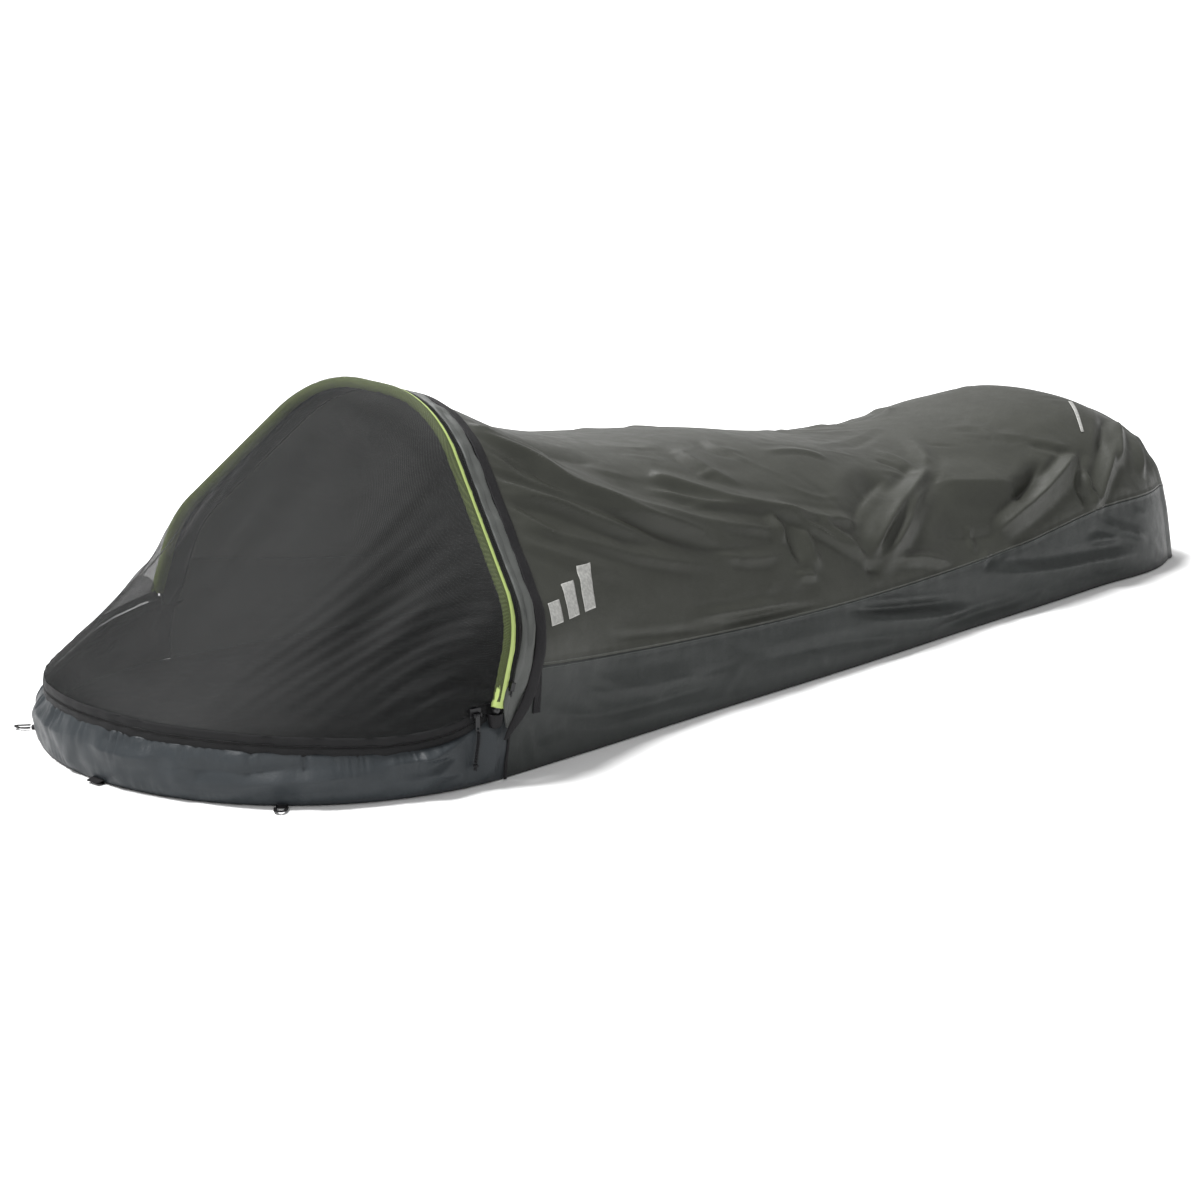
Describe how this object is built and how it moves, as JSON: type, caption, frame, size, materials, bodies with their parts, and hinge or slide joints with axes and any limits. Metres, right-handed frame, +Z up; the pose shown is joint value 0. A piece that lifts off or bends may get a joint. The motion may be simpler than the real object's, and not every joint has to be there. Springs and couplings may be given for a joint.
{
  "type": "bivy sack",
  "caption": "One-person bivy sack with a half-round head tub, see-through netting on a bowed pole hoop and a long tapering fabric body.",
  "frame": {"origin": "on the ground under the middle of the sack's length and width", "axes": "+X from head to foot, +Y to the sleeper's left side, +Z up"},
  "size_m": [2.0755, 0.7982, 0.4624],
  "materials": {
    "floor_fabric": "matt coated nylon",
    "tub_fabric": "coated nylon, slight sheen",
    "top_fabric": "laminated ripstop nylon, soft sheen",
    "netting": "fine insect netting, see-through",
    "sleeve_fabric": "bright nylon sleeve",
    "flap_fabric": "laminated nylon",
    "webbing": "woven nylon webbing",
    "zipper_tape": "woven tape",
    "zipper_coil": "nylon coil",
    "slider_metal": "black painted zinc",
    "pole": "acetal tube",
    "ferrule": "anodised",
    "plastic": "moulded",
    "cord": "braided cord"
  },
  "bodies": {
    "sack": {"floor_panel": "floor_fabric", "head_tub_wall": "tub_fabric", "side_wall_right": "tub_fabric", "side_wall_left": "tub_fabric", "body_top_panel": "top_fabric", "hood_panel": "top_fabric", "foot_end_panel": "top_fabric", "rim_zipper_tape_lower": "zipper_tape", "rim_coil_lower": "zipper_coil", "pole_pocket_right": "webbing", "pole_pocket_left": "webbing", "corner_patch_right": "webbing", "corner_patch_left": "webbing", "corner_binding_right": "webbing", "corner_binding_left": "webbing", "stake_loop_anchors": "webbing", "head_webbing": "webbing"},
    "clamshell": {"pole_section_1": "pole", "pole_section_2": "pole", "pole_section_3": "pole", "pole_section_4": "pole", "pole_ferrules": "ferrule", "pole_tip_right": "plastic", "pole_tip_left": "plastic", "pole_shock_cord": "cord", "pole_sleeve": "sleeve_fabric", "mesh_canopy": "netting", "rim_zipper_tape_upper": "zipper_tape", "rim_coil_upper": "zipper_coil", "flap_zipper_tape": "zipper_tape", "storm_flap": "flap_fabric", "hoop_webbing": "webbing", "flap_slider": "slider_metal"},
    "rim_slider": {"rim_slider": "slider_metal"},
    "rim_pull": {"pull_tab": "slider_metal", "pull_cord": "cord", "cord_knot": "cord"},
    "stake_loop_right": {"stake_loop_right": "webbing"},
    "stake_loop_left": {"stake_loop_left": "webbing"},
    "stake_loop_foot": {"stake_loop_foot": "webbing"}
  },
  "joints": [
    {"name": "clamshell_open", "type": "hinge", "parent": "sack", "child": "clamshell", "pos_m": [-0.6445, 0, 0.1], "axis": [0, 1, 0], "range_deg": [0, 50], "deforming": ["hood_panel"]},
    {"name": "rim_slider_travel", "type": "hinge", "parent": "sack", "child": "rim_slider", "pos_m": [-0.6445, 0, 0.1], "axis": [0, 0, -1], "range_deg": [0, 172]},
    {"name": "pull_swing", "type": "hinge", "parent": "rim_slider", "child": "rim_pull", "pos_m": [-0.67157, -0.38705, 0.098], "axis": [-0.9976, 0.0698, 0], "range_deg": [0, 120]},
    {"name": "loop_lift_right", "type": "hinge", "parent": "sack", "child": "stake_loop_right", "pos_m": [-0.91041, -0.28515, 0.0015], "axis": [-0.7314, 0.682, 0], "range_deg": [0, 85]},
    {"name": "loop_lift_left", "type": "hinge", "parent": "sack", "child": "stake_loop_left", "pos_m": [-0.96389, 0.22364, 0.0015], "axis": [0.5736, 0.8192, 0], "range_deg": [0, 85]},
    {"name": "loop_lift_foot", "type": "hinge", "parent": "sack", "child": "stake_loop_foot", "pos_m": [1.0136, 0, 0.0015], "axis": [0, -1, 0], "range_deg": [0, 85]}
  ]
}
